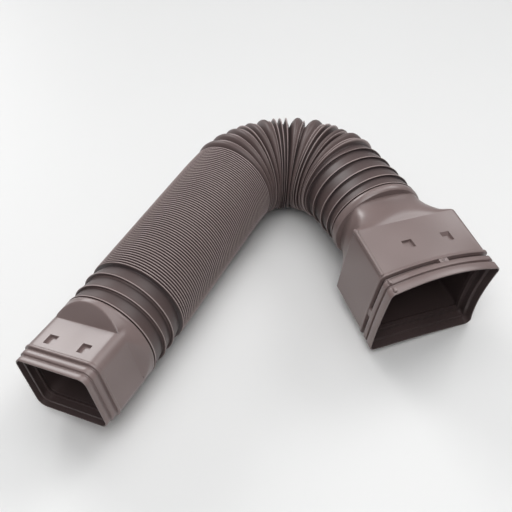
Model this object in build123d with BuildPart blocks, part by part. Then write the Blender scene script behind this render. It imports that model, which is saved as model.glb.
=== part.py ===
from build123d import *
from math import atan2, cos, degrees, hypot, radians, sin
import os

os.makedirs("parts", exist_ok=True)

# Flexible downspout extension, blow moulded in one piece. Two rectangular cuffs of different
# size are joined by a round bellows. The folds beside the large cuff stand open and lean into
# a bend of about 133 degrees, the long straight run is pushed shut into fine ribs, and three
# folds beside the small cuff stand open again. Sizes are in millimetres.

wall = 1.5

# Bellows. The ridge is the outermost edge of a fold, and the valley the groove between two.
ridge_r = 50.0
fold_depth = 9.0
valley_r = ridge_r - fold_depth
bore_r = valley_r - wall
ridge_lean = 2.2

# Closed folds show only a fine groove between them.
closed_folds = 15
closed_pitch = 12.5
closed_depth = 1.8

# Open folds beside the small cuff, each with the same opening all round.
small_end_openings = [15.0, 15.0, 14.5]

# Folds of the bend, in order: how far each stands open on the outside of the bend and on the
# inside, where most are pressed shut. Folds that are pressed against each other count as one.
outer_openings = [25.5, 22.5, 19.5, 22.5, 22.5, 24.5, 22.5, 28.5, 30, 23, 26, 17, 18, 16, 14.5]
inner_openings = [2.4, 2.4, 2.4, 4, 2.4, 7.3, 2.7, 3.5, 8.8, 3.8, 6.1, 14.4, 16.4, 13.7, 9.9]

# The bend climbs a little off the ground and its end noses down to the large cuff.
bend_rise = 10.0
bend_nose_down = 5.4

# Large cuff: a sleeve over a rectangular pipe of 108 x 83, flaring out of a round neck. Its
# mouth is out of true: the top bows out and the right side bows in.
big_half_w = 56.1
big_half_h = 43.3
big_corner = 5.0
big_box_length = 78.3
big_neck_r = ridge_r - 2.6
big_band_width = 9.5
big_length = 124.1
big_roll = -4.2
big_top_bow = 8.5
big_right_bow = -4.5
least_bow = 0.004

# Half way down the flare its cone is this much wider than the round neck.
flare_middle = 93.0
flare_stands_out = 8.0

# Small cuff: a sleeve over a rectangular pipe of 83 x 60, with fuller corners. Its upper and
# lower faces climb to the round neck by flat ramps.
small_half_w = 42.5
small_half_h = 31.8
small_corner = 10.0
small_box_length = 51.8
small_neck_r = ridge_r - 1.6
small_ramp_length = 12.0
small_length = 69.3
small_heading = -2.0
small_rise = -1.6
small_roll = 14.3

# Rims, as rings from the mouth inward: where each ring ends, and how far it stands out from
# the box behind the rim. From the mouth they are the flange, a narrow groove, a band, a deep
# groove and a lip. The linings are the same for the inside of the wall.
big_rim = [(8.5, 1.5), (10.0, 0.1), (17.0, 0.9), (20.4, -1.4), (23.2, 1.0)]
big_lining = [(15.6, -1.1), (21.8, -2.9)]
small_rim = [(5.3, -1.8), (7.2, -2.8), (12.8, -0.8), (14.6, -2.1), (17.0, 0.7)]
small_lining = [(16.0, -3.4)]

# Catches: shallow square pockets in the upper face of each cuff, dented through the wall.
# Each place is the distance from the mouth and the distance across from the middle.
pocket_size = 10.0
pocket_depth = 1.4
big_pockets = [(47.8, -14.8), (47.6, 26.3)]
small_pockets = [(27.5, -19.5), (28.0, 18.2)]

# Bridges across the deep groove of the large rim, and the moulding bead along one edge, which
# ends in a bulb at the neck.
bridge_width = 9.0
bridge_thick = 2.6
bridge_length = 6.0
bridge_middle = 19.0
bridge_stands_out = 0.6
top_bridge_at = 4.0
side_bridge_at = -6.0
bead_r = 1.6
bead_bulb_r = 2.4
bead_bulb_length = 4.0
bead_from = 22.0
bead_inset = 1.5

# Tools that cut start this far outside the solid.
clear = 1.0


def travel(heading, rise):
    flat = cos(radians(rise))
    return Vector(cos(radians(heading)) * flat, sin(radians(heading)) * flat, sin(radians(rise)))


def ring_plane(x, y, z, heading, rise=0.0):
    # Local x points left of the direction of travel and local y up.
    left = Vector(-sin(radians(heading)), cos(radians(heading)), 0)
    return Plane(origin=(x, y, z), x_dir=left, z_dir=travel(heading, rise))


def heading_of(plane):
    return degrees(atan2(plane.z_dir.Y, plane.z_dir.X))


def walk(start, openings, rise_by=0.0, nose_by=0.0):
    # Follows the folds from ring to ring: a fold that opens further on its left turns right.
    x, y, z = start.origin.X, start.origin.Y, start.origin.Z
    heading = heading_of(start)
    rings = [start]
    for number, (outer, inner) in enumerate(openings, start=1):
        turn = degrees((outer - inner) / (2 * ridge_r))
        step = (outer + inner) / 2
        x += step * cos(radians(heading - turn / 2))
        y += step * sin(radians(heading - turn / 2))
        heading -= turn
        share = number / len(openings)
        rings.append(ring_plane(x, y, z + rise_by * share, heading, nose_by * share))
    return rings


def folds(rings, openings, foot_r, lean=0.0):
    # A row of folds. Each swells from its foot to a sharp ridge, and the next starts at the
    # bottom of a steep step. A fold that stands open on one side swells further on that side.
    with BuildPart() as row:
        for start, end, (outer, inner) in zip(rings, rings[1:], openings):
            sideways = lean * (outer - inner) / max(outer_openings)
            with BuildSketch(start):
                Circle(foot_r)
            with BuildSketch(end):
                with Locations((sideways, 0)):
                    Circle(ridge_r)
            loft(ruled=True)
    return row.part


def duct(planes):
    # Bore of one radius, in straight lengths from plane to plane.
    with BuildPart() as hollow:
        with BuildLine() as path:
            Polyline(*[plane.origin for plane in planes])
        with BuildSketch(Plane(origin=path.line @ 0, z_dir=path.line % 0)):
            Circle(bore_r)
        sweep(path=path.line, transition=Transition.RIGHT)
    return hollow.part


def cuff_mouth(neck, heading, rise, roll, length):
    # Plane of a mouth: local x is right as seen into the mouth, y is up and z points out.
    inward = travel(heading, rise)
    level = Vector(sin(radians(heading)), -cos(radians(heading)), 0)
    right = level * cos(radians(roll)) + level.cross(inward) * sin(radians(roll))
    return Plane(origin=neck.origin - inward * length, x_dir=right, z_dir=inward * -1)


def side(start, end, bow=0.0):
    # One side of a cuff: straight, or an arc that stands off the straight line by its bow.
    middle = (Vector(start) + Vector(end)) / 2
    outward = Vector(middle.X, 0) if start[0] == end[0] else Vector(0, middle.Y)
    if bow:
        ThreePointArc(start, middle + outward.normalized() * bow, end)
    else:
        Line(start, end)


def rounded_box(half_w, half_h, corner, top_bow=0.0, right_bow=0.0):
    # Section of a cuff: a rectangle with round corners whose top and right side may bow.
    flat_w, flat_h = half_w - corner, half_h - corner
    with BuildSketch() as section:
        with BuildLine():
            side((half_w, -flat_h), (half_w, flat_h), right_bow)
            CenterArc((flat_w, flat_h), corner, 0, 90)
            side((flat_w, half_h), (-flat_w, half_h), top_bow)
            CenterArc((-flat_w, flat_h), corner, 90, 90)
            side((-half_w, flat_h), (-half_w, -flat_h))
            CenterArc((-flat_w, -flat_h), corner, 180, 90)
            side((-flat_w, -half_h), (flat_w, -half_h))
            CenterArc((flat_w, -flat_h), corner, 270, 90)
        make_face()
    return section.sketch


def cuff_box(mouth, start, rings, half_w, half_h, corner, length, top_bow=0.0, right_bow=0.0):
    # Rings of a rim from the mouth inward, then the plain box to where its bows have died out.
    with BuildPart() as box:
        for end, out in rings[:-1]:
            share = 1 - (start + end) / 2 / length
            bows = (top_bow * share, right_bow * share)
            with BuildSketch(mouth.offset(-end)):
                add(rounded_box(half_w + out, half_h + out, corner + out, *bows))
            extrude(amount=end - start)
            start = end
        end, out = rings[-1]
        for depth in (start, end):
            share = 1 - depth / length + least_bow
            bows = (top_bow * share, right_bow * share)
            with BuildSketch(mouth.offset(-depth)):
                add(rounded_box(half_w + out, half_h + out, corner + out, *bows))
        loft(ruled=True)
    return box.part


def cut_pockets(mouth, places, half_w, half_h, corner, length, bow=0.0):
    # Each pocket is dented through the wall: a pad inside carries its floor.
    outer, deep = pocket_size + 2 * wall, 2 * wall
    for depth, across in places:
        sag = bow * (1 - depth / length) * (1 - (across / (half_w - corner)) ** 2)
        floor = Location((across, half_h + sag - pocket_depth, -depth))
        with Locations(mouth.location * floor):
            Box(outer, deep, outer)
            above = (Align.CENTER, Align.MIN, Align.CENTER)
            Box(pocket_size, deep, pocket_size, align=above, mode=Mode.SUBTRACT)


# Rings of the bellows. The straight run starts at the origin, lying along +X on the ground.
run_length = closed_folds * closed_pitch
run_end = ring_plane(run_length, 0, ridge_r, 0)
bend_openings = list(zip(outer_openings, inner_openings))
bend_rings = walk(run_end, bend_openings, bend_rise, -bend_nose_down)
small_openings = [(opening, opening) for opening in small_end_openings]
small_rings = walk(ring_plane(-sum(small_end_openings), 0, ridge_r, 0), small_openings)
small_rings[0] = ring_plane(-sum(small_end_openings), 0, ridge_r, small_heading, small_rise)

# Straight run of closed folds: a ribbed tube.
groove_r = ridge_r - closed_depth
with BuildPart() as closed_run:
    with BuildSketch(Plane.XZ):
        with BuildLine():
            outline = [(0, ridge_r), (0, ridge_r + groove_r)]
            for number in range(closed_folds):
                outline.append(((number + 0.5) * closed_pitch, 2 * ridge_r))
                outline.append(((number + 1) * closed_pitch, ridge_r + groove_r))
            Polyline(*outline, (run_length, ridge_r), close=True)
        make_face()
    revolve(axis=Axis((0, 0, ridge_r), (1, 0, 0)))

# Large cuff: box, flared neck and round band, hollow but for the web at its end.
neck = bend_rings[-1]
big_mouth = cuff_mouth(neck, heading_of(neck) + 180, bend_nose_down, big_roll, big_length)
big_band_from = big_length - big_band_width


def big_neck(inset, to_depth):
    # Four flat faces lead from the box to the neck, with a cone of two slopes over the corners.
    corner_r = hypot(big_half_w - big_corner, big_half_h - big_corner) + big_corner
    with BuildPart() as flat_faces:
        for depth, half_w, half_h in (
            (big_box_length, big_half_w, big_half_h),
            (big_band_from, big_neck_r, big_neck_r),
            (big_length + clear, big_neck_r, big_neck_r),
        ):
            with BuildSketch(big_mouth.offset(-depth)):
                Rectangle(2 * (half_w - inset), 2 * (half_h - inset))
        loft(ruled=True)
    with BuildPart() as solid:
        for depth, radius in (
            (big_box_length, corner_r),
            (flare_middle, big_neck_r + flare_stands_out),
            (big_band_from, big_neck_r),
            (to_depth, big_neck_r),
        ):
            with BuildSketch(big_mouth.offset(-depth)):
                Circle(radius - inset)
        loft(ruled=True)
        add(flat_faces.part, mode=Mode.INTERSECT)
    return solid.part


big_size = (big_half_w, big_half_h, big_corner, big_box_length)
big_bows = (big_top_bow, big_right_bow)
with BuildPart() as big_cuff:
    add(cuff_box(big_mouth, 0, big_rim + [(big_box_length, 0)], *big_size, *big_bows))
    add(big_neck(0, big_length))
    hollow = big_lining + [(big_box_length, -wall)]
    add(cuff_box(big_mouth, -clear, hollow, *big_size, *big_bows), mode=Mode.SUBTRACT)
    add(big_neck(wall, big_length - wall), mode=Mode.SUBTRACT)
    cut_pockets(big_mouth, big_pockets, *big_size, big_top_bow)

    bowed = 1 - bridge_middle / big_box_length
    reach = bridge_stands_out - bridge_thick / 2
    top = big_half_h + big_top_bow * bowed + reach
    for across, up in ((top_bridge_at, top), (0, -big_half_h - reach)):
        with Locations(big_mouth.location * Location((across, up, -bridge_middle))):
            Box(bridge_width, bridge_thick, bridge_length)
    for across in (-big_half_w - reach, big_half_w + big_right_bow * bowed + reach):
        with Locations(big_mouth.location * Location((across, side_bridge_at, -bridge_middle))):
            Box(bridge_thick, bridge_width, bridge_length)
    edge = Location((-big_half_w + bead_inset, big_half_h - bead_inset, -big_box_length))
    with Locations(big_mouth.location * edge):
        along = (Align.CENTER, Align.CENTER, Align.MIN)
        Cylinder(bead_r, big_box_length - bead_from, align=along)
        Cylinder(bead_bulb_r, bead_bulb_length)

# Small cuff: box, ramps and round neck.
small_mouth = cuff_mouth(small_rings[0], small_heading, small_rise, small_roll, small_length)
small_ramp_end = small_box_length + small_ramp_length


def small_neck(inset, to_depth):
    # The neck is a round length cut by four flat ramps that start at the box.
    with BuildPart() as solid:
        for depth, half_w, half_h in (
            (small_box_length, small_half_w, small_half_h),
            (small_ramp_end, small_neck_r, small_neck_r),
            (small_length + clear, small_neck_r, small_neck_r),
        ):
            with BuildSketch(small_mouth.offset(-depth)):
                Rectangle(2 * (half_w - inset), 2 * (half_h - inset))
        loft(ruled=True)
        with BuildSketch(small_mouth.offset(-to_depth)):
            Circle(small_neck_r - inset)
        extrude(amount=to_depth - small_box_length, mode=Mode.INTERSECT)
    return solid.part


small_size = (small_half_w, small_half_h, small_corner, small_box_length)
with BuildPart() as small_cuff:
    add(cuff_box(small_mouth, 0, small_rim + [(small_box_length, 0)], *small_size))
    add(small_neck(0, small_length))
    hollow = small_lining + [(small_box_length, -wall)]
    add(cuff_box(small_mouth, -clear, hollow, *small_size), mode=Mode.SUBTRACT)
    add(small_neck(wall, small_length - wall), mode=Mode.SUBTRACT)
    cut_pockets(small_mouth, small_pockets, *small_size)

# The whole part: the duct runs through both webs and all the folds between them. It turns at
# every second ring of the bend, but not among the last folds, which are nearly in line.
with BuildPart() as extension:
    add(closed_run.part)
    add(folds(small_rings, small_openings, valley_r))
    add(folds(bend_rings, bend_openings, valley_r, ridge_lean))
    add(small_cuff.part)
    add(big_cuff.part)
    corners = bend_rings[1:-3:2]
    first = small_mouth.offset(-small_length + 2 * wall)
    last = big_mouth.offset(-big_length + 2 * wall)
    add(duct([first] + corners + [last]), mode=Mode.SUBTRACT)

# It stands on z = 0 with the middle of its box over the origin.
box = extension.part.bounding_box()
to_ground = Location((-box.center().X, -box.center().Y, -box.min.Z))
downspout_extension = extension.part.moved(to_ground)
downspout_extension.label = "downspout_extension"
print("solids", len(downspout_extension.solids()), "valid", downspout_extension.is_valid)
print("moved by", tuple(round(c, 3) for c in to_ground.position))
print("size", downspout_extension.bounding_box().size)
export_step(downspout_extension, "parts/downspout_extension.step")
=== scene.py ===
import bpy
import numpy as np
from math import radians
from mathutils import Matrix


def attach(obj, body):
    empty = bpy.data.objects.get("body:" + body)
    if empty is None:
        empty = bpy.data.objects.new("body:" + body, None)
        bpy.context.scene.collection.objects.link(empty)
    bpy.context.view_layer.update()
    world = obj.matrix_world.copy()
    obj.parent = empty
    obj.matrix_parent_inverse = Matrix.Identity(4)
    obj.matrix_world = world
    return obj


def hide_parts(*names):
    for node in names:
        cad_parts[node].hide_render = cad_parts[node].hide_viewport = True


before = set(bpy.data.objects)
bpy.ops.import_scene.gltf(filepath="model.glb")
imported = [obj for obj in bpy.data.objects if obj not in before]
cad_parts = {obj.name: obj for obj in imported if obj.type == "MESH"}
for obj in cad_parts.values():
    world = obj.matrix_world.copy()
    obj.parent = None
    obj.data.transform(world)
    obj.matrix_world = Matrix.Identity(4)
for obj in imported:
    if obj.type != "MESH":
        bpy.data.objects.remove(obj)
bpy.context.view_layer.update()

# Everything below is worked out in millimetres along the row's own directions, with the start of
# the straight run on the ground at the origin, and moved to the frame at the end.
MM = 0.001
SHIFT = np.array([-94.759, 123.44, 0.0])
NODE = "downspout_extension"

# ---- bellows ----
# RADIUS is that of the circles on which the openings of the folds are measured, and also the
# height of the run's centre line. RIDGE_R is the radius of the crests. The ribs of the fan are
# closed too, but stand a little open on the outer side of the bend, so that they begin its turn.
RADIUS = 50.0
RUN_LENGTH = 161.3
RUN_RIBS = 56
FAN_RIBS = 10
FAN_OPENING = (3.31, 2.48)
RIDGE_R = 49.85
# Folds of the bend, towards the large cuff: the opening on its outer and its inner side, and the
# depth.
BEND_OUTER = [21.0, 19.5, 18.0, 7.0, 15.5, 22.5, 8.0, 8.0, 8.5, 23.0, 28.5, 7.5, 9.0, 13.5, 23.5,
              9.5, 16.0, 17.5, 18.0, 16.5, 14.5]
BEND_INNER = [3.1, 3.1, 2.8, 2.5, 2.3, 2.0, 1.9, 1.9, 2.1, 2.5, 3.2, 3.2, 3.1, 3.2, 3.3, 3.2, 3.1,
              14.2, 16.2, 13.6, 9.8]
BEND_DEPTH = [6.5, 8.0, 9.5, 8.5, 9.5, 9.5, 9.0, 9.0, 9.0, 9.5, 9.5, 9.0, 9.0, 9.5, 9.5, 9.0, 3.4,
              3.0, 2.8, 2.6, 2.6]
BEND_RISE = 10.0
NOSE_DOWN = -5.4
NECK = (199.92, -163.10, -133.12)      # x, y and heading where the bellows ends
# Folds beside the small cuff, away from it: opening, depth, heading of the ring after each, and
# radius of the crest. The heading and rise are those of the cuff itself.
SMALL_OPENINGS = [15.0, 15.0, 14.5]
SMALL_DEPTH = [3.4, 3.8, 4.2]
SMALL_SKEW = [0.0, -2.2, 0.0]
SMALL_HEADING, SMALL_RISE = -2.0, -1.6
SMALL_RIDGE_R = (48.8, 49.0, 49.3)
CLOSED_DEPTH = 3.6
FOOT_R = RIDGE_R - 9.5                # outside of the ends that run into the collars
WALL = 1.5
SEGMENTS = 92
# The last folds of the bend are bands, and its folds narrower than FIN_WIDTH are sharp fins.
BANDS = 5
FIN_WIDTH = 9.7

# ---- large cuff ----
# Distances are from the mouth inward. The box is followed by the neck, which flares down to the
# round collar band. A profile gives each ring of a rim: where it ends and how far it stands out.
# A pocket is given by its middle: the distance from the mouth and the place across the top.
BIG = dict(half_w=56.1, half_h=43.3, corner=5.0, box=78.3, neck_r=47.4, band=9.5, length=124.1,
           roll=-4.2, rise=5.4, top_bow=8.8, right_bow=-4.6, left_bow=1.2, bottom_bow=-1.6)
BIG_PROFILE = [(8.2, 1.5), (11.0, -1.4), (16.3, 1.0), (20.6, -4.0), (23.4, 1.4)]
BIG_POCKETS = [(47.8, -14.8), (47.6, 26.3)]
# Bridges across the deep groove of the rim: side, from, to, and how far they stand out.
BIG_BRIDGES = [("top", -0.6, 8.6, 0.9), ("left", -10.5, -1.5, 0.5), ("right", -10.5, -1.5, 0.5),
               ("bottom", -4.5, 4.5, 0.5)]

# ---- small cuff ----
SMALL = dict(half_w=42.5, half_h=31.8, corner=10.0, box=51.8, neck_r=48.4, ramp=12.0, length=69.3,
             roll=14.3)
SMALL_PROFILE = [(5.3, -1.8), (7.2, -2.9), (12.8, -0.8), (14.6, -2.2), (17.0, 0.7)]
SMALL_POCKETS = [(27.5, -19.5), (28.0, 18.2)]
POCKET = 10.0
POCKET_DEPTH = 3.0
EDGE = 0.16                            # half the bevel round a pocket or a bridge

# ---- tones of the plastic, from 0 for deep valleys to 1 for crests, 0.5 being its own brown ----
# lower tones are painted shade (fold flanks, shut ribs, the duct, the cuffs' insides); higher ones
# are painted light (the crests' highlight, the cuffs' outsides)
CREST_HIGHLIGHT_TONE = 1.0
BEND_SHADE_TONE = 0.31
SMALL_SHADE_TONE = 0.30
SHUT_SHADE_TONE = 0.15
CUFF_LIT_TONE = 0.62
INSIDE_SHADE_TONE = 0.12
DUCT_SHADE_TONE = 0.3

# ---- lights: name, azimuth, elevation, distance, size, power ----
LIGHTS = [("overhead", 20, 80, 1.7, (1.5, 1.5), 13.2), ("front", 196, 60, 2.0, (1.3, 1.1), 18.5),
          ("window_left", 63.5, 27, 4.0, (1.8, 1.1), 54.0),
          ("window_right", -20, 43, 3.5, (1.6, 1.1), 29.0)]
LIT_POINT = np.array([0.0, 0.0, 0.05])

# ---- camera, as fitted to the photo ----
VIEW, PITCH, ROLL = radians(25.86), radians(46.03), radians(0.13)
EYE = (-338.4, -288.4, 560.0)
LENS = 49.77


def smooth(x):
    """0 below 0, 1 above 1, with a soft step between."""
    x = np.clip(x, 0.0, 1.0)
    return x * x * (3 - 2 * x)


def travel(heading, rise):
    """Unit vector along a heading in the ground plane that climbs by an angle."""
    h, r = radians(heading), radians(rise)
    return np.array([np.cos(h) * np.cos(r), np.sin(h) * np.cos(r), np.sin(r)])


class Ring:
    """A circle's plane: centre, direction of travel, left and up."""

    def __init__(self, x, y, z, heading, rise=0.0):
        self.c = np.array([x, y, z], float)
        self.t = travel(heading, rise)
        self.left = np.array([-np.sin(radians(heading)), np.cos(radians(heading)), 0.0])
        self.up = np.cross(self.t, self.left)

    def at(self, r, phi):
        way = np.cos(phi)[:, None] * self.left + np.sin(phi)[:, None] * self.up
        return self.c + r[:, None] * way


def bellows_rings():
    """Rings of the bellows from the small cuff to the large one, and each fold's depth."""
    rings, depths = [], []
    x = -sum(SMALL_OPENINGS)
    rings.append(Ring(x, 0, RADIUS, SMALL_HEADING, SMALL_RISE))
    for opening, depth, skew in zip(SMALL_OPENINGS, SMALL_DEPTH, SMALL_SKEW):
        x += opening
        rings.append(Ring(x, 0, RADIUS, skew))
        depths.append(depth)
    for number in range(RUN_RIBS):
        rings.append(Ring((number + 1) * RUN_LENGTH / RUN_RIBS, 0, RADIUS, 0))
        depths.append(CLOSED_DEPTH)
    x, y, heading = RUN_LENGTH, 0.0, 0.0
    steps = [FAN_OPENING + (CLOSED_DEPTH,)] * FAN_RIBS
    steps += list(zip(BEND_OUTER, BEND_INNER, BEND_DEPTH))
    places, travelled = [], 0.0
    for number, (outer, inner, depth) in enumerate(steps):
        turn = np.degrees((outer - inner) / (2 * RADIUS))
        step = (outer + inner) / 2
        x += step * np.cos(radians(heading - turn / 2))
        y += step * np.sin(radians(heading - turn / 2))
        heading -= turn
        if number >= FAN_RIBS:
            travelled += step
        places.append((x, y, heading, travelled))
        depths.append(depth)
    # the small rest by which the last ring misses the large cuff's neck is spread over the bend
    off = [NECK[0] - x, NECK[1] - y, NECK[2] - heading]
    for x, y, heading, gone in places:
        share = gone / travelled
        rings.append(Ring(x + off[0] * share, y + off[1] * share, RADIUS + BEND_RISE * share,
                          heading + off[2] * share, NOSE_DOWN * share))
    return rings, depths


# Folds, as (share of the opening, share of the depth left, share of the bulge). A fold of the
# bend swells, ends in a fine crest towards the large cuff and drops steeply to its valley.
BEND_FOLD = [(0.0, 1.0, 0.0), (0.035, 0.88, 0.0), (0.08, 0.68, 0.0), (0.15, 0.42, 0.1),
             (0.25, 0.20, 0.45), (0.37, 0.06, 0.85), (0.49, 0.0, 1.0), (0.61, 0.0, 0.9),
             (0.72, 0.05, 0.6), (0.81, 0.16, 0.25), (0.86, 0.17, 0.05), (0.895, 0.0, 0.05),
             (0.925, 0.06, 0.0), (0.955, 0.50, 0.0)]
# Narrow folds of the bend are sharp fins.
FIN_FOLD = [(0.0, 1.0, 0.0), (0.12, 0.84, 0.0), (0.24, 0.60, 0.1), (0.34, 0.33, 0.4),
            (0.43, 0.08, 0.9), (0.5, 0.0, 1.0), (0.57, 0.08, 0.9), (0.66, 0.33, 0.4),
            (0.76, 0.60, 0.1), (0.88, 0.84, 0.0)]
# The folds beside the small cuff are bands that fall away from a fine crest, which overhangs
# the groove before it.
SMALL_FOLD = [(0.05, 1.0, 0.0), (0.02, 0.62, 0.0), (0.0, 0.16, 0.0), (0.012, 0.02, 0.0),
              (0.04, 0.0, 0.0), (0.07, 0.07, 0.0), (0.10, 0.20, 0.0), (0.20, 0.25, 0.0),
              (0.35, 0.34, 0.0), (0.50, 0.44, 0.0), (0.65, 0.55, 0.0), (0.80, 0.68, 0.0),
              (0.92, 0.80, 0.0), (0.99, 0.93, 0.0)]
# The last folds before the large cuff are the same the other way round.
BAND_FOLD = [(1 - share, left, 0.0) for share, left, _ in SMALL_FOLD[::-1]]
# Closed fold: a thin rounded ridge between narrow gaps.
SHUT_FOLD = [(0.0, 1.0, 0.0), (0.17, 0.80, 0.0), (0.24, 0.22, 0.0), (0.37, 0.045, 0.0),
             (0.5, 0.0, 0.0), (0.63, 0.045, 0.0), (0.76, 0.22, 0.0), (0.83, 0.80, 0.0)]


def opening_between(first, second, phi):
    """How far two rings stand apart, all round."""
    r = np.full(len(phi), RADIUS)
    return np.linalg.norm(second.at(r, phi) - first.at(r, phi), axis=1)


def between(first, second, share, r, phi):
    """A loop of radius r at a share of the way from one ring to the next."""
    return first.at(r, phi) * (1 - share) + second.at(r, phi) * share


def bellows():
    """Loops of the bellows, outside and then back inside, the tone of each loop, and the rings."""
    rings, depths = bellows_rings()
    phi = np.linspace(0, 2 * np.pi, SEGMENTS, endpoint=False)
    full, none = np.ones(SEGMENTS), np.zeros(SEGMENTS)
    first_bend = len(SMALL_OPENINGS) + RUN_RIBS + FAN_RIBS
    first_band = len(depths) - BANDS
    duct = FOOT_R - WALL
    outer, inner, tones = [], [], []
    for number, depth in enumerate(depths):
        first, second = rings[number], rings[number + 1]
        opening = opening_between(first, second, phi)
        deep, bulge, near = depth * full, none, 0.08
        if number < len(SMALL_OPENINGS):
            steps, tone, ridge = SMALL_FOLD, SMALL_SHADE_TONE, SMALL_RIDGE_R[number] * full
            if number == len(SMALL_OPENINGS) - 1:
                ridge = ridge + 0.5 * np.maximum(0, np.cos(phi))
        elif number < first_bend:
            steps, tone, ridge, near = SHUT_FOLD, SHUT_SHADE_TONE, RIDGE_R * full, 0.2
        else:
            # where a fold is pressed shut it is as shallow as the run's, and no fold is quite even
            wide = smooth((opening - 3.2) / 8.0)
            uneven = 0.12 * np.sin(3 * phi + 1.7 * number) + 0.08 * np.sin(5 * phi + 2.9 * number)
            tone = BEND_SHADE_TONE
            ridge = RIDGE_R - 0.7 * wide + uneven * wide - 0.25 * max(0, number - first_band)
            if number >= first_band:
                steps = BAND_FOLD
            else:
                deep = CLOSED_DEPTH + (depth - CLOSED_DEPTH) * wide
                fin = BEND_OUTER[number - first_bend] < FIN_WIDTH
                steps = FIN_FOLD if fin else BEND_FOLD
            most, at_opening = (2.2, 9.0) if steps is FIN_FOLD else (3.6, 26.0)
            bulge = most * smooth(opening / at_opening)
        crest = max(share for share, left, _ in steps if left == 0.0)
        for share, left, swell in steps:
            outer.append(between(first, second, share, ridge - deep * left + bulge * swell, phi))
            # a painted highlight on each crest, and painted shade on the flanks that deepens
            # towards the valleys
            on_crest = abs(share - crest) < near and left < 0.1
            tones.append(CREST_HIGHLIGHT_TONE if on_crest else tone * (1 - 0.92 * left))
        # the inside follows the folds that stand open, and is a plain duct where they are shut
        shares, lefts, _ = zip(*steps)
        for share in ((0.5,) if steps is SHUT_FOLD else (0.08, 0.45, 0.82)):
            lobe = ridge - deep * np.interp(share, shares, lefts) - WALL
            low = duct + (0.8 if share == 0.5 else 0.0)
            r = low + (lobe - low) * smooth((opening - 6.0) / 8.0)
            inner.append(between(first, second, share, r, phi))
    # the ends run a little way into the collars
    head, tail = rings[0], rings[-1]
    loops = [head.at(full * duct, phi) - head.t, head.at(full * FOOT_R, phi) - head.t]
    loops += outer
    loops += [tail.at(ridge - deep, phi), tail.at(full * FOOT_R, phi) + tail.t,
              tail.at(full * duct, phi) + tail.t]
    loops += inner[::-1]
    # the ends and the inside get the duct's painted shade
    tones = [DUCT_SHADE_TONE] * 2 + tones + [DUCT_SHADE_TONE] * (3 + len(inner))
    return np.array(loops), np.array(tones), rings


# ---- cuffs ----
def steps_between(low, high, spacing, extra=()):
    """Even steps from low to high, with a pair of close lines at each extra in place of others."""
    values = list(np.linspace(low, high, max(2, int(round((high - low) / spacing)) + 1)))
    for edge in extra:
        values = [v for v in values if abs(v - edge) > 0.55]
        values += [edge - EDGE, edge + EDGE]
    return sorted(v for v in values if low - 1e-6 <= v <= high + 1e-6)


# which way (w, v) each side of a cuff faces
OUTWARD = {"right": np.array([1.0, 0.0]), "top": np.array([0.0, 1.0]),
           "left": np.array([-1.0, 0.0]), "bottom": np.array([0.0, -1.0])}


class Cuff:
    """A rectangular cuff: its mouth, its directions (w across, v up, a inward) and its outline."""

    def __init__(self, neck, heading, rise, size, top_lines=(), side_lines=(), bottom_lines=()):
        self.size = size
        t = travel(heading, rise)
        level = np.array([np.sin(radians(heading)), -np.cos(radians(heading)), 0.0])
        roll = radians(size["roll"])
        self.w = level * np.cos(roll) + np.cross(level, t) * np.sin(roll)
        self.a = t
        self.v = np.cross(self.w, self.a)
        self.mouth = neck - t * size["length"]
        flat_w = size["half_w"] - size["corner"]
        flat_h = size["half_h"] - size["corner"]
        self.flat_w, self.flat_h = flat_w, flat_h
        arc = np.linspace(0, 90, 11)[1:-1]
        points = []
        points += [("right", v) for v in steps_between(-flat_h, flat_h, 3.0, side_lines)]
        points += [("corner", flat_w, flat_h, a) for a in arc]
        points += [("top", w) for w in steps_between(-flat_w, flat_w, 2.4, top_lines)[::-1]]
        points += [("corner", -flat_w, flat_h, a + 90) for a in arc]
        points += [("left", v) for v in steps_between(-flat_h, flat_h, 3.0, side_lines)[::-1]]
        points += [("corner", -flat_w, -flat_h, a + 180) for a in arc]
        points += [("bottom", w) for w in steps_between(-flat_w, flat_w, 3.0, bottom_lines)]
        points += [("corner", flat_w, -flat_h, a + 270) for a in arc]
        self.points = points

    def bow(self, side, along, s):
        """How far a side bows out at a place along it; the bow fades from the mouth to the neck."""
        size = self.size
        reach = self.flat_w if side in ("top", "bottom") else self.flat_h
        share = max(0.0, 1 - s / size["box"])
        return size.get(side + "_bow", 0.0) * share * (1 - (along / reach) ** 2)

    def section(self, s, out=0.0):
        """Points (w, v) of the rounded box at a distance from the mouth, moved outward by out."""
        size = self.size
        got = []
        for p in self.points:
            if p[0] == "corner":
                a = radians(p[3])
                r = size["corner"] + out
                got.append((p[1] + r * np.cos(a), p[2] + r * np.sin(a)))
            elif p[0] == "top":
                got.append((p[1], size["half_h"] + out + self.bow("top", p[1], s)))
            elif p[0] == "bottom":
                got.append((p[1], -size["half_h"] - out - self.bow("bottom", p[1], s)))
            elif p[0] == "right":
                got.append((size["half_w"] + out + self.bow("right", p[1], s), p[1]))
            else:
                got.append((-size["half_w"] - out - self.bow("left", p[1], s), p[1]))
        return np.array(got)

    def place(self, flat, s):
        """Points (w, v) at a distance from the mouth, in space."""
        s = np.broadcast_to(np.asarray(s, float), (len(flat),))
        return self.mouth + flat[:, :1] * self.w + flat[:, 1:] * self.v + s[:, None] * self.a


def soft_min(a, b, k):
    """The smaller of two values, rounded where they differ by less than k."""
    h = np.clip(0.5 + 0.5 * (b - a) / k, 0, 1)
    return b * (1 - h) + a * h - k * h * (1 - h)


def flats(theta, half_w, half_h, k):
    """Radius of a rectangle with soft corners in each direction."""
    c, s = np.abs(np.cos(theta)) + 1e-9, np.abs(np.sin(theta)) + 1e-9
    return soft_min(half_w / c, half_h / s, k)


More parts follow.
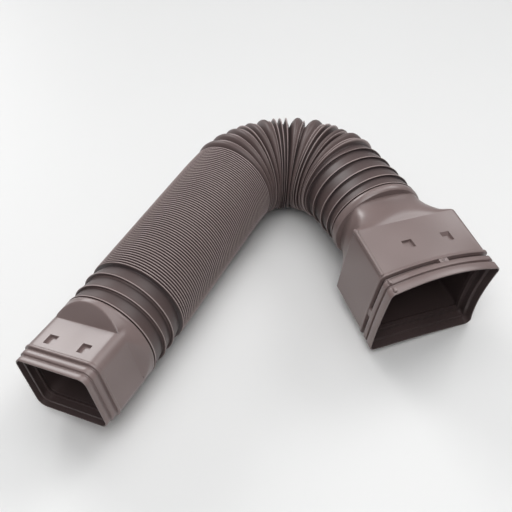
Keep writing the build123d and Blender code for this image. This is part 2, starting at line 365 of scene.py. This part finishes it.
def neck_loop(cuff, s, start, theta, inset, shape):
    """A loop between the box and the round neck: flat faces that fade, under a flaring cone."""
    size = cuff.size
    rho0 = np.hypot(start[:, 0], start[:, 1])
    base = shape(size["box"], theta) - inset
    now = shape(s, theta) - inset
    fade = 1 - smooth((s - size["box"]) / 9.0)
    rho = now + (rho0 - base) * fade
    return np.stack([rho * np.cos(theta), rho * np.sin(theta)], 1)


def big_shape(s, theta):
    """Radius of the large cuff's flare: the box's faces, cut by a hollow cone."""
    half_w, half_h, corner, neck_r = (BIG[k] for k in ("half_w", "half_h", "corner", "neck_r"))
    band = BIG["length"] - BIG["band"]
    u = np.clip((s - BIG["box"]) / (band - BIG["box"]), 0, 1)
    corner_r = np.hypot(half_w - corner, half_h - corner) + corner
    cone = neck_r + (corner_r - neck_r) * (1 - u) ** 2.1
    wide = half_w + (neck_r + 0.6 - half_w) * u ** 1.15
    high = half_h + (neck_r + 0.6 - half_h) * u
    faces = flats(theta, wide, high, 4.0 + 8 * u)
    return soft_min(faces, cone * np.ones(len(theta)), 19.0 + 7.0 * u)


def small_shape(s, theta):
    """Radius of the small cuff's ramps: flat faces that climb, cut by the round neck."""
    half_w, half_h, neck_r = (SMALL[k] for k in ("half_w", "half_h", "neck_r"))
    u = np.clip((s - SMALL["box"]) / SMALL["ramp"], 0, 1)
    wide = half_w + (neck_r + 1.5 - half_w) * u
    high = half_h + (neck_r + 1.5 - half_h) * u
    return soft_min(flats(theta, wide, high, 1.2), neck_r * np.ones(len(theta)), 1.4)


def rim_profile(profile, bevel):
    """(distance, stand-out) pairs down the outside of a rim, with a small bevel at each step."""
    heights = [h for _, h in profile] + [0.0]
    got = [(0.0, heights[0] - bevel * 1.3), (bevel * 0.4, heights[0] - bevel * 0.4),
           (bevel * 1.2, heights[0])]
    for (s1, here), after in zip(profile, heights[1:]):
        b = bevel if abs(here - after) > 0.5 else bevel * 0.5
        drop = np.sign(after - here) * min(b, abs(here - after) * 0.45)
        got += [(s1 - b, here), (s1 - b * 0.3, here + drop * 0.35), (s1, here + drop),
                (s1 + 0.12, after - drop * 0.6), (s1 + b, after)]
    return got


def pocket_edges(middles):
    """Where the pockets with these middles begin and end."""
    return [middle + half for middle in middles for half in (-POCKET / 2, POCKET / 2)]


def cuff_loops(cuff, profile, pockets, shape, neck_steps, band_profile, bevel):
    """Loops of a cuff from its neck down the outside, over the mouth and back up the inside,
    and the tone of each loop."""
    size = cuff.size
    sides = np.array([p[0] for p in cuff.points])
    across = np.array([p[1] for p in cuff.points])
    top = sides == "top"

    outside = [(s, h, "rim") for s, h in rim_profile(profile, bevel)]
    lines = pocket_edges(depth for depth, _ in pockets)
    start = profile[-1][0] + 1.4
    plain = steps_between(start, size["box"] - 0.7, 4.0, sorted(set(round(v, 3) for v in lines)))
    groove = profile[-3][0] - 0.01, profile[-2][0] + 0.13
    outside += [(s, 0.0, "box") for s in plain] + [(size["box"] - 0.25, 0.0, "box")]

    def loop(s, out, kind, inside=False):
        flat = cuff.section(s, out)
        if kind == "box":
            for depth, middle in pockets:
                if abs(s - depth) < POCKET / 2:
                    flat[top & (np.abs(across - middle) < POCKET / 2), 1] -= POCKET_DEPTH
        if kind == "rim" and not inside and groove[0] < s < groove[1]:
            for side, low, high, height in cuff.bridges:
                if out < height:
                    on = (sides == side) & (across > low) & (across < high)
                    flat[on] += (height - out) * OUTWARD[side]
        return cuff.place(flat, s)

    box_end = cuff.section(size["box"], 0.0)
    theta = np.arctan2(box_end[:, 1], box_end[:, 0])

    def circle(s, r):
        return cuff.place(np.stack([r * np.cos(theta), r * np.sin(theta)], 1), s)

    loops = [loop(s, h, kind) for s, h, kind in outside]
    loops += [cuff.place(neck_loop(cuff, s, box_end, theta, 0.0, shape), s) for s in neck_steps]
    loops += [circle(s, r) for s, r in band_profile]
    loops = loops[::-1]

    # inside, from the mouth to the neck
    heights = [h - WALL for _, h in profile] + [-WALL]
    lining = [(0.0, heights[0] + 0.35), (0.35, heights[0])]
    for (s1, _), here, after in zip(profile, heights[:-1], heights[1:]):
        lining += [(s1 - 0.35, here), (s1 + 0.35, after)]
    inner = [loop(s, h, "rim", True) for s, h in lining]
    inner += [loop(s, -WALL, "box", True) for s in plain]
    inner += [cuff.place(neck_loop(cuff, s, box_end, theta, WALL, shape), s)
              for s in neck_steps[::2]]
    end = size["length"]
    bore = FOOT_R - 0.4
    inner += [circle(s, r) for s, r in (
        (end - 3.0, size["neck_r"] - WALL), (end - 2.0, size["neck_r"] - WALL - 0.6),
        (end - 1.8, bore + 0.5), (end - 1.2, bore), (end - 0.1, bore))]
    # painted light on the cuff's outside, and painted shade on its inside
    tones = [CUFF_LIT_TONE] * len(loops) + [INSIDE_SHADE_TONE] * len(inner)
    return np.array(loops + inner), np.array(tones)


def big_cuff():
    """Loops of the large cuff, the tone of each, and the cuff itself."""
    neck = Ring(NECK[0], NECK[1], RADIUS + BEND_RISE, NECK[2], NOSE_DOWN)
    ends = {side: [low, high] for side, low, high, _ in BIG_BRIDGES}
    cuff = Cuff(neck.c, NECK[2] + 180, BIG["rise"], BIG,
                top_lines=sorted(pocket_edges(m for _, m in BIG_POCKETS) + ends["top"]),
                side_lines=ends["left"], bottom_lines=ends["bottom"])
    cuff.bridges = BIG_BRIDGES
    band = BIG["length"] - BIG["band"]
    neck_steps = list(np.linspace(BIG["box"] + 0.25, band - 0.6, 26))
    end = BIG["length"]
    r = BIG["neck_r"]
    band_profile = [(band - 0.1, r - 0.05), (band + 0.5, r + 0.35), (band + 1.6, r + 0.9),
                    (band + 3.5, r + 1.25), (band + 5.5, r + 1.2), (end - 2.2, r + 0.75),
                    (end - 1.1, r + 0.1), (end - 0.5, r - 1.0), (end - 0.25, r - 2.6),
                    (end - 0.1, r - 4.5)]
    loops, tones = cuff_loops(cuff, BIG_PROFILE, BIG_POCKETS, big_shape, neck_steps,
                              band_profile, 0.55)
    return loops, tones, cuff


def small_cuff(first_ring):
    """Loops of the small cuff, which ends at the bellows' first ring, and the tone of each."""
    cuff = Cuff(first_ring.c, SMALL_HEADING, SMALL_RISE, SMALL,
                top_lines=sorted(pocket_edges(m for _, m in SMALL_POCKETS)))
    cuff.bridges = []
    ramp_end = SMALL["box"] + SMALL["ramp"]
    neck_steps = list(np.linspace(SMALL["box"] + 0.25, ramp_end - 0.3, 18))
    end = SMALL["length"]
    r = SMALL["neck_r"]
    band_profile = [(ramp_end + 0.4, r), (ramp_end + 1.5, r + 0.25), (end - 2.6, r + 0.3),
                    (end - 1.3, r - 0.05), (end - 0.6, r - 0.9), (end - 0.3, r - 2.2),
                    (end - 0.1, r - 4.0)]
    return cuff_loops(cuff, SMALL_PROFILE, SMALL_POCKETS, small_shape, neck_steps,
                      band_profile, 0.6)


# ---- meshes ----
def quads(rows, columns):
    """Faces of a grid of loops that closes both along the loops and round them."""
    i, j = (k.ravel() for k in np.mgrid[:rows, :columns])
    i2, j2 = (i + 1) % rows, (j + 1) % columns
    corners = (i * columns + j, i * columns + j2, i2 * columns + j2, i2 * columns + j)
    return np.stack(corners, -1).tolist()


def signed_volume(verts, faces):
    """Volume inside faces of four corners; below 0 where they face inward."""
    f = np.array(faces)
    a, b, c, d = (verts[f[:, k]] for k in range(4))
    return float((a * (np.cross(b, c) + np.cross(c, d))).sum() / 6)


def rounded_block(center, axes, half):
    """A small block with soft edges: a squarish outline that shrinks to nothing at both ends."""
    a = np.linspace(0, 2 * np.pi, 24, endpoint=False)
    loops = []
    power = 0.32
    outline = np.stack([np.sign(np.cos(a)) * np.abs(np.cos(a)) ** power,
                        np.sign(np.sin(a)) * np.abs(np.sin(a)) ** power], 1)
    for depth, scale in ((-1, 0.02), (-1, 0.78), (-0.93, 0.95), (-0.8, 1.0), (0.8, 1.0),
                         (0.93, 0.95), (1, 0.78), (1, 0.02)):
        flat = outline * np.array(half[:2]) * scale
        loops.append(center + flat[:, :1] * axes[0] + flat[:, 1:] * axes[1]
                     + depth * half[2] * axes[2])
    return np.array(loops)


def bar(start, end, radius, bulb):
    """A round bar with domed ends, swelling to a bulb at its start."""
    axis = (end - start) / np.linalg.norm(end - start)
    side = np.cross(axis, [0, 0, 1.0])
    side /= np.linalg.norm(side)
    other = np.cross(axis, side)
    a = np.linspace(0, 2 * np.pi, 20, endpoint=False)
    ring = np.cos(a)[:, None] * side + np.sin(a)[:, None] * other
    length = np.linalg.norm(end - start)
    loops = []
    for u, r in ((-bulb, 0.02), (-0.92 * bulb, 0.4 * bulb), (-0.6 * bulb, 0.8 * bulb), (0, bulb),
                 (0.6 * bulb, 0.93 * bulb), (1.3 * bulb, radius * 1.06), (2.2 * bulb, radius),
                 (length - radius, radius), (length - 0.4 * radius, 0.8 * radius), (length, 0.02)):
        loops.append(start + axis * u + ring * r)
    return np.array(loops)


def capped(loops):
    """Faces for a row of loops, with one face that closes the first loop and one the last."""
    rows, columns, _ = loops.shape
    faces = quads(rows, columns)[:(rows - 1) * columns]
    faces.append(list(range(columns))[::-1])
    faces.append([(rows - 1) * columns + j for j in range(columns)])
    return faces


def add_object(name, parts, tones, sharp=None):
    """An object from parts, as (loops, whether the last joins the first), with the tones of the
    first part's loops. Edges sharper than the angle sharp aren't smoothed."""
    verts, faces, base = [], [], 0
    around = parts[0][0].shape[1]
    for loops, closed in parts:
        flat = loops.reshape(-1, 3)
        got = quads(*loops.shape[:2]) if closed else capped(loops)
        if signed_volume(flat - flat.mean(0), [f for f in got if len(f) == 4]) < 0:
            got = [f[::-1] for f in got]
        faces += [[i + base for i in f] for f in got]
        verts.append(flat)
        base += len(flat)
    points = (np.concatenate(verts) + SHIFT) * MM
    mesh = bpy.data.meshes.new(name)
    mesh.from_pydata(points.tolist(), [], faces)
    mesh.validate()
    mesh.update()
    mesh.shade_smooth()
    if sharp:
        mesh.set_sharp_from_angle(angle=radians(sharp))
    # the tone of each point, which carries the painted shade and light, a little mottled
    shade = np.full(len(points), CUFF_LIT_TONE)
    shade[:tones.size * around] = np.repeat(tones, around)
    mottle = (np.sin(points @ np.array([61.0, 37.0, 83.0]))
              * np.sin(points @ np.array([-43.0, 71.0, 29.0])))
    tone = mesh.attributes.new("tone", "FLOAT", "POINT")
    tone.data.foreach_set("value", shade + 0.03 * mottle)
    obj = bpy.data.objects.new(name, mesh)
    bpy.context.scene.collection.objects.link(obj)
    return obj


# ---- materials ----
def nodes_of(material):
    """The material's node tree, emptied."""
    material.use_nodes = True
    tree = material.node_tree
    tree.nodes.clear()
    return tree


def brown_plastic(name, least_rough, sheen):
    """Brown moulded plastic, slightly wavy and uneven in gloss, whose colour follows the tone."""
    mat = bpy.data.materials.new(name)
    tree = nodes_of(mat)
    new, link = tree.nodes.new, tree.links.new
    out = new("ShaderNodeOutputMaterial")
    bsdf = new("ShaderNodeBsdfPrincipled")
    link(bsdf.outputs["BSDF"], out.inputs["Surface"])
    bsdf.inputs["IOR"].default_value = 1.5
    bsdf.inputs["Specular IOR Level"].default_value = sheen

    coord = new("ShaderNodeTexCoord")
    broad = new("ShaderNodeTexNoise")
    broad.inputs["Scale"].default_value = 14.0
    broad.inputs["Detail"].default_value = 3.0
    link(coord.outputs["Object"], broad.inputs["Vector"])
    # the tone's dark end is painted shade for the valleys, its pale end a painted highlight for the
    # crests, and its middle the plastic's own brown
    tone = new("ShaderNodeAttribute")
    tone.attribute_name = "tone"
    ramp = new("ShaderNodeValToRGB")
    ramp.color_ramp.elements[0].position = 0.0
    ramp.color_ramp.elements[0].color = (0.043, 0.031, 0.031, 1)
    ramp.color_ramp.elements[1].position = 1.0
    ramp.color_ramp.elements[1].color = (0.36, 0.29, 0.28, 1)
    middle_tone = ramp.color_ramp.elements.new(0.5)
    middle_tone.color = (0.136, 0.092, 0.086, 1)
    link(tone.outputs["Fac"], ramp.inputs["Fac"])
    link(ramp.outputs["Color"], bsdf.inputs["Base Color"])

    rough = new("ShaderNodeMapRange")
    rough.inputs["From Min"].default_value = 0.3
    rough.inputs["From Max"].default_value = 0.7
    rough.inputs["To Min"].default_value = least_rough
    rough.inputs["To Max"].default_value = least_rough + 0.08
    link(broad.outputs["Fac"], rough.inputs["Value"])
    link(rough.outputs["Result"], bsdf.inputs["Roughness"])

    wave = new("ShaderNodeBump")
    wave.inputs["Strength"].default_value = 0.25
    wave.inputs["Distance"].default_value = 0.0012
    link(broad.outputs["Fac"], wave.inputs["Height"])
    link(wave.outputs["Normal"], bsdf.inputs["Normal"])
    return mat


def floor_material():
    """Pale matt ground with a very faint mottle."""
    mat = bpy.data.materials.new("floor_white")
    tree = nodes_of(mat)
    new, link = tree.nodes.new, tree.links.new
    out = new("ShaderNodeOutputMaterial")
    bsdf = new("ShaderNodeBsdfPrincipled")
    bsdf.inputs["Roughness"].default_value = 0.45
    bsdf.inputs["Specular IOR Level"].default_value = 0.25
    link(bsdf.outputs["BSDF"], out.inputs["Surface"])
    coord = new("ShaderNodeTexCoord")
    noise = new("ShaderNodeTexNoise")
    noise.inputs["Scale"].default_value = 3.0
    noise.inputs["Detail"].default_value = 2.0
    link(coord.outputs["Object"], noise.inputs["Vector"])
    ramp = new("ShaderNodeValToRGB")
    ramp.color_ramp.elements[0].color = (0.745, 0.745, 0.74, 1)
    ramp.color_ramp.elements[1].color = (0.765, 0.765, 0.76, 1)
    link(noise.outputs["Fac"], ramp.inputs["Fac"])
    link(ramp.outputs["Color"], bsdf.inputs["Base Color"])
    return mat


# ---- build the pieces ----
def on_cuff(cuff, w, v, s):
    """The point of space at a place across, up and inward on a cuff."""
    return cuff.mouth + cuff.w * w + cuff.v * v + cuff.a * s


def pin_ring(center, axes, outer, inner, height):
    """A small raised ring round a pin hole."""
    a = np.linspace(0, 2 * np.pi, 16, endpoint=False)
    ring = np.cos(a)[:, None] * axes[0] + np.sin(a)[:, None] * axes[2]
    profile = ((outer, -height), (outer, 0.7 * height), (0.93 * outer, height),
               (1.15 * inner, height), (inner, 0.7 * height), (inner, -height))
    return np.array([center + r * ring + h * axes[1] for r, h in profile])


bellows_loops, bellows_tones, rings = bellows()
big_loops, big_tones, big = big_cuff()
small_loops, small_tones = small_cuff(rings[0])

# on the large cuff: a bead down its left upper edge, two lugs on the rim's left corner, and a
# pin ring on the top bridge
axes = (big.w, big.v, big.a)
bead_at = (-BIG["half_w"] + 1.3, BIG["half_h"] + 0.3)
bead = bar(on_cuff(big, *bead_at, 77.0), on_cuff(big, *bead_at, 21.8), 1.8, 2.6)
lug_at = -BIG["half_w"] + 3.4
lugs = [rounded_block(on_cuff(big, lug_at, BIG["half_h"] + 1.6, 4.0), axes, (1.4, 1.9, 2.2)),
        rounded_block(on_cuff(big, lug_at, BIG["half_h"] + 1.1, 13.4), axes, (1.3, 1.8, 2.2))]
pin_depth = 18.6
pin_top = BIG["half_h"] + BIG["top_bow"] * (1 - pin_depth / BIG["box"]) + 0.9
pin = pin_ring(on_cuff(big, 4.0, pin_top, pin_depth), axes, 1.7, 0.9, 0.6)

bellows_piece = add_object("bellows", [(bellows_loops, True)], bellows_tones)
big_piece = add_object("large_cuff", [(big_loops, True), (pin, True), (bead, False)]
                       + [(lug, False) for lug in lugs], big_tones, sharp=38)
small_piece = add_object("small_cuff", [(small_loops, True)], small_tones, sharp=38)

satin = brown_plastic("brown_plastic_satin", 0.31, 0.65)
dull = brown_plastic("brown_plastic_dull", 0.44, 0.45)
for piece, plastic in ((bellows_piece, dull), (big_piece, satin), (small_piece, satin)):
    piece.data.materials.append(plastic)
    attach(piece, "root")
    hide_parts(NODE)

# ---- floor, lights and camera ----
bpy.ops.mesh.primitive_plane_add(size=6.0, location=(0.3, 0.3, -0.0001))
floor = bpy.context.active_object
floor.name = "floor"
floor.data.materials.append(floor_material())


def aim(thing, place, axes):
    """Put a lamp or the camera at a place, with its own x, y and z along three axes."""
    for row in range(3):
        for column, axis in enumerate(axes):
            thing.matrix_world[row][column] = axis[row]
        thing.matrix_world[row][3] = place[row]


def area(name, azimuth, elevation, distance, size, power):
    """An area light in a direction of the sky, facing the middle of the part."""
    data = bpy.data.lights.new(name, "AREA")
    data.shape = "RECTANGLE"
    data.size, data.size_y = size
    data.energy = power
    lamp = bpy.data.objects.new(name, data)
    bpy.context.scene.collection.objects.link(lamp)
    place = distance * travel(azimuth, elevation)
    z = (place - LIT_POINT) / np.linalg.norm(place - LIT_POINT)
    x = np.cross([0, 0, 1.0], z)
    x = x / np.linalg.norm(x)
    aim(lamp, place, (x, np.cross(z, x), z))


for light in LIGHTS:
    area(*light)

world = bpy.data.worlds.new("studio")
bpy.context.scene.world = world
world.use_nodes = True
background = world.node_tree.nodes["Background"]
background.inputs["Color"].default_value = (0.95, 0.97, 1.0, 1)
background.inputs["Strength"].default_value = 0.18

camera_data = bpy.data.cameras.new("camera")
camera_data.lens = LENS
camera_data.sensor_width = 36.0
camera_data.sensor_fit = "HORIZONTAL"
camera_data.clip_start = 0.01
camera = bpy.data.objects.new("camera", camera_data)
bpy.context.scene.collection.objects.link(camera)
forward = travel(np.degrees(VIEW), -np.degrees(PITCH))
level_right = np.array([np.sin(VIEW), -np.cos(VIEW), 0.0])
level_up = np.cross(level_right, forward)
right = level_right * np.cos(ROLL) + level_up * np.sin(ROLL)
up = -level_right * np.sin(ROLL) + level_up * np.cos(ROLL)
aim(camera, (np.array(EYE) + SHIFT) * MM, (right, up, -forward))
bpy.context.scene.camera = camera
bpy.context.scene.view_settings.view_transform = "Standard"
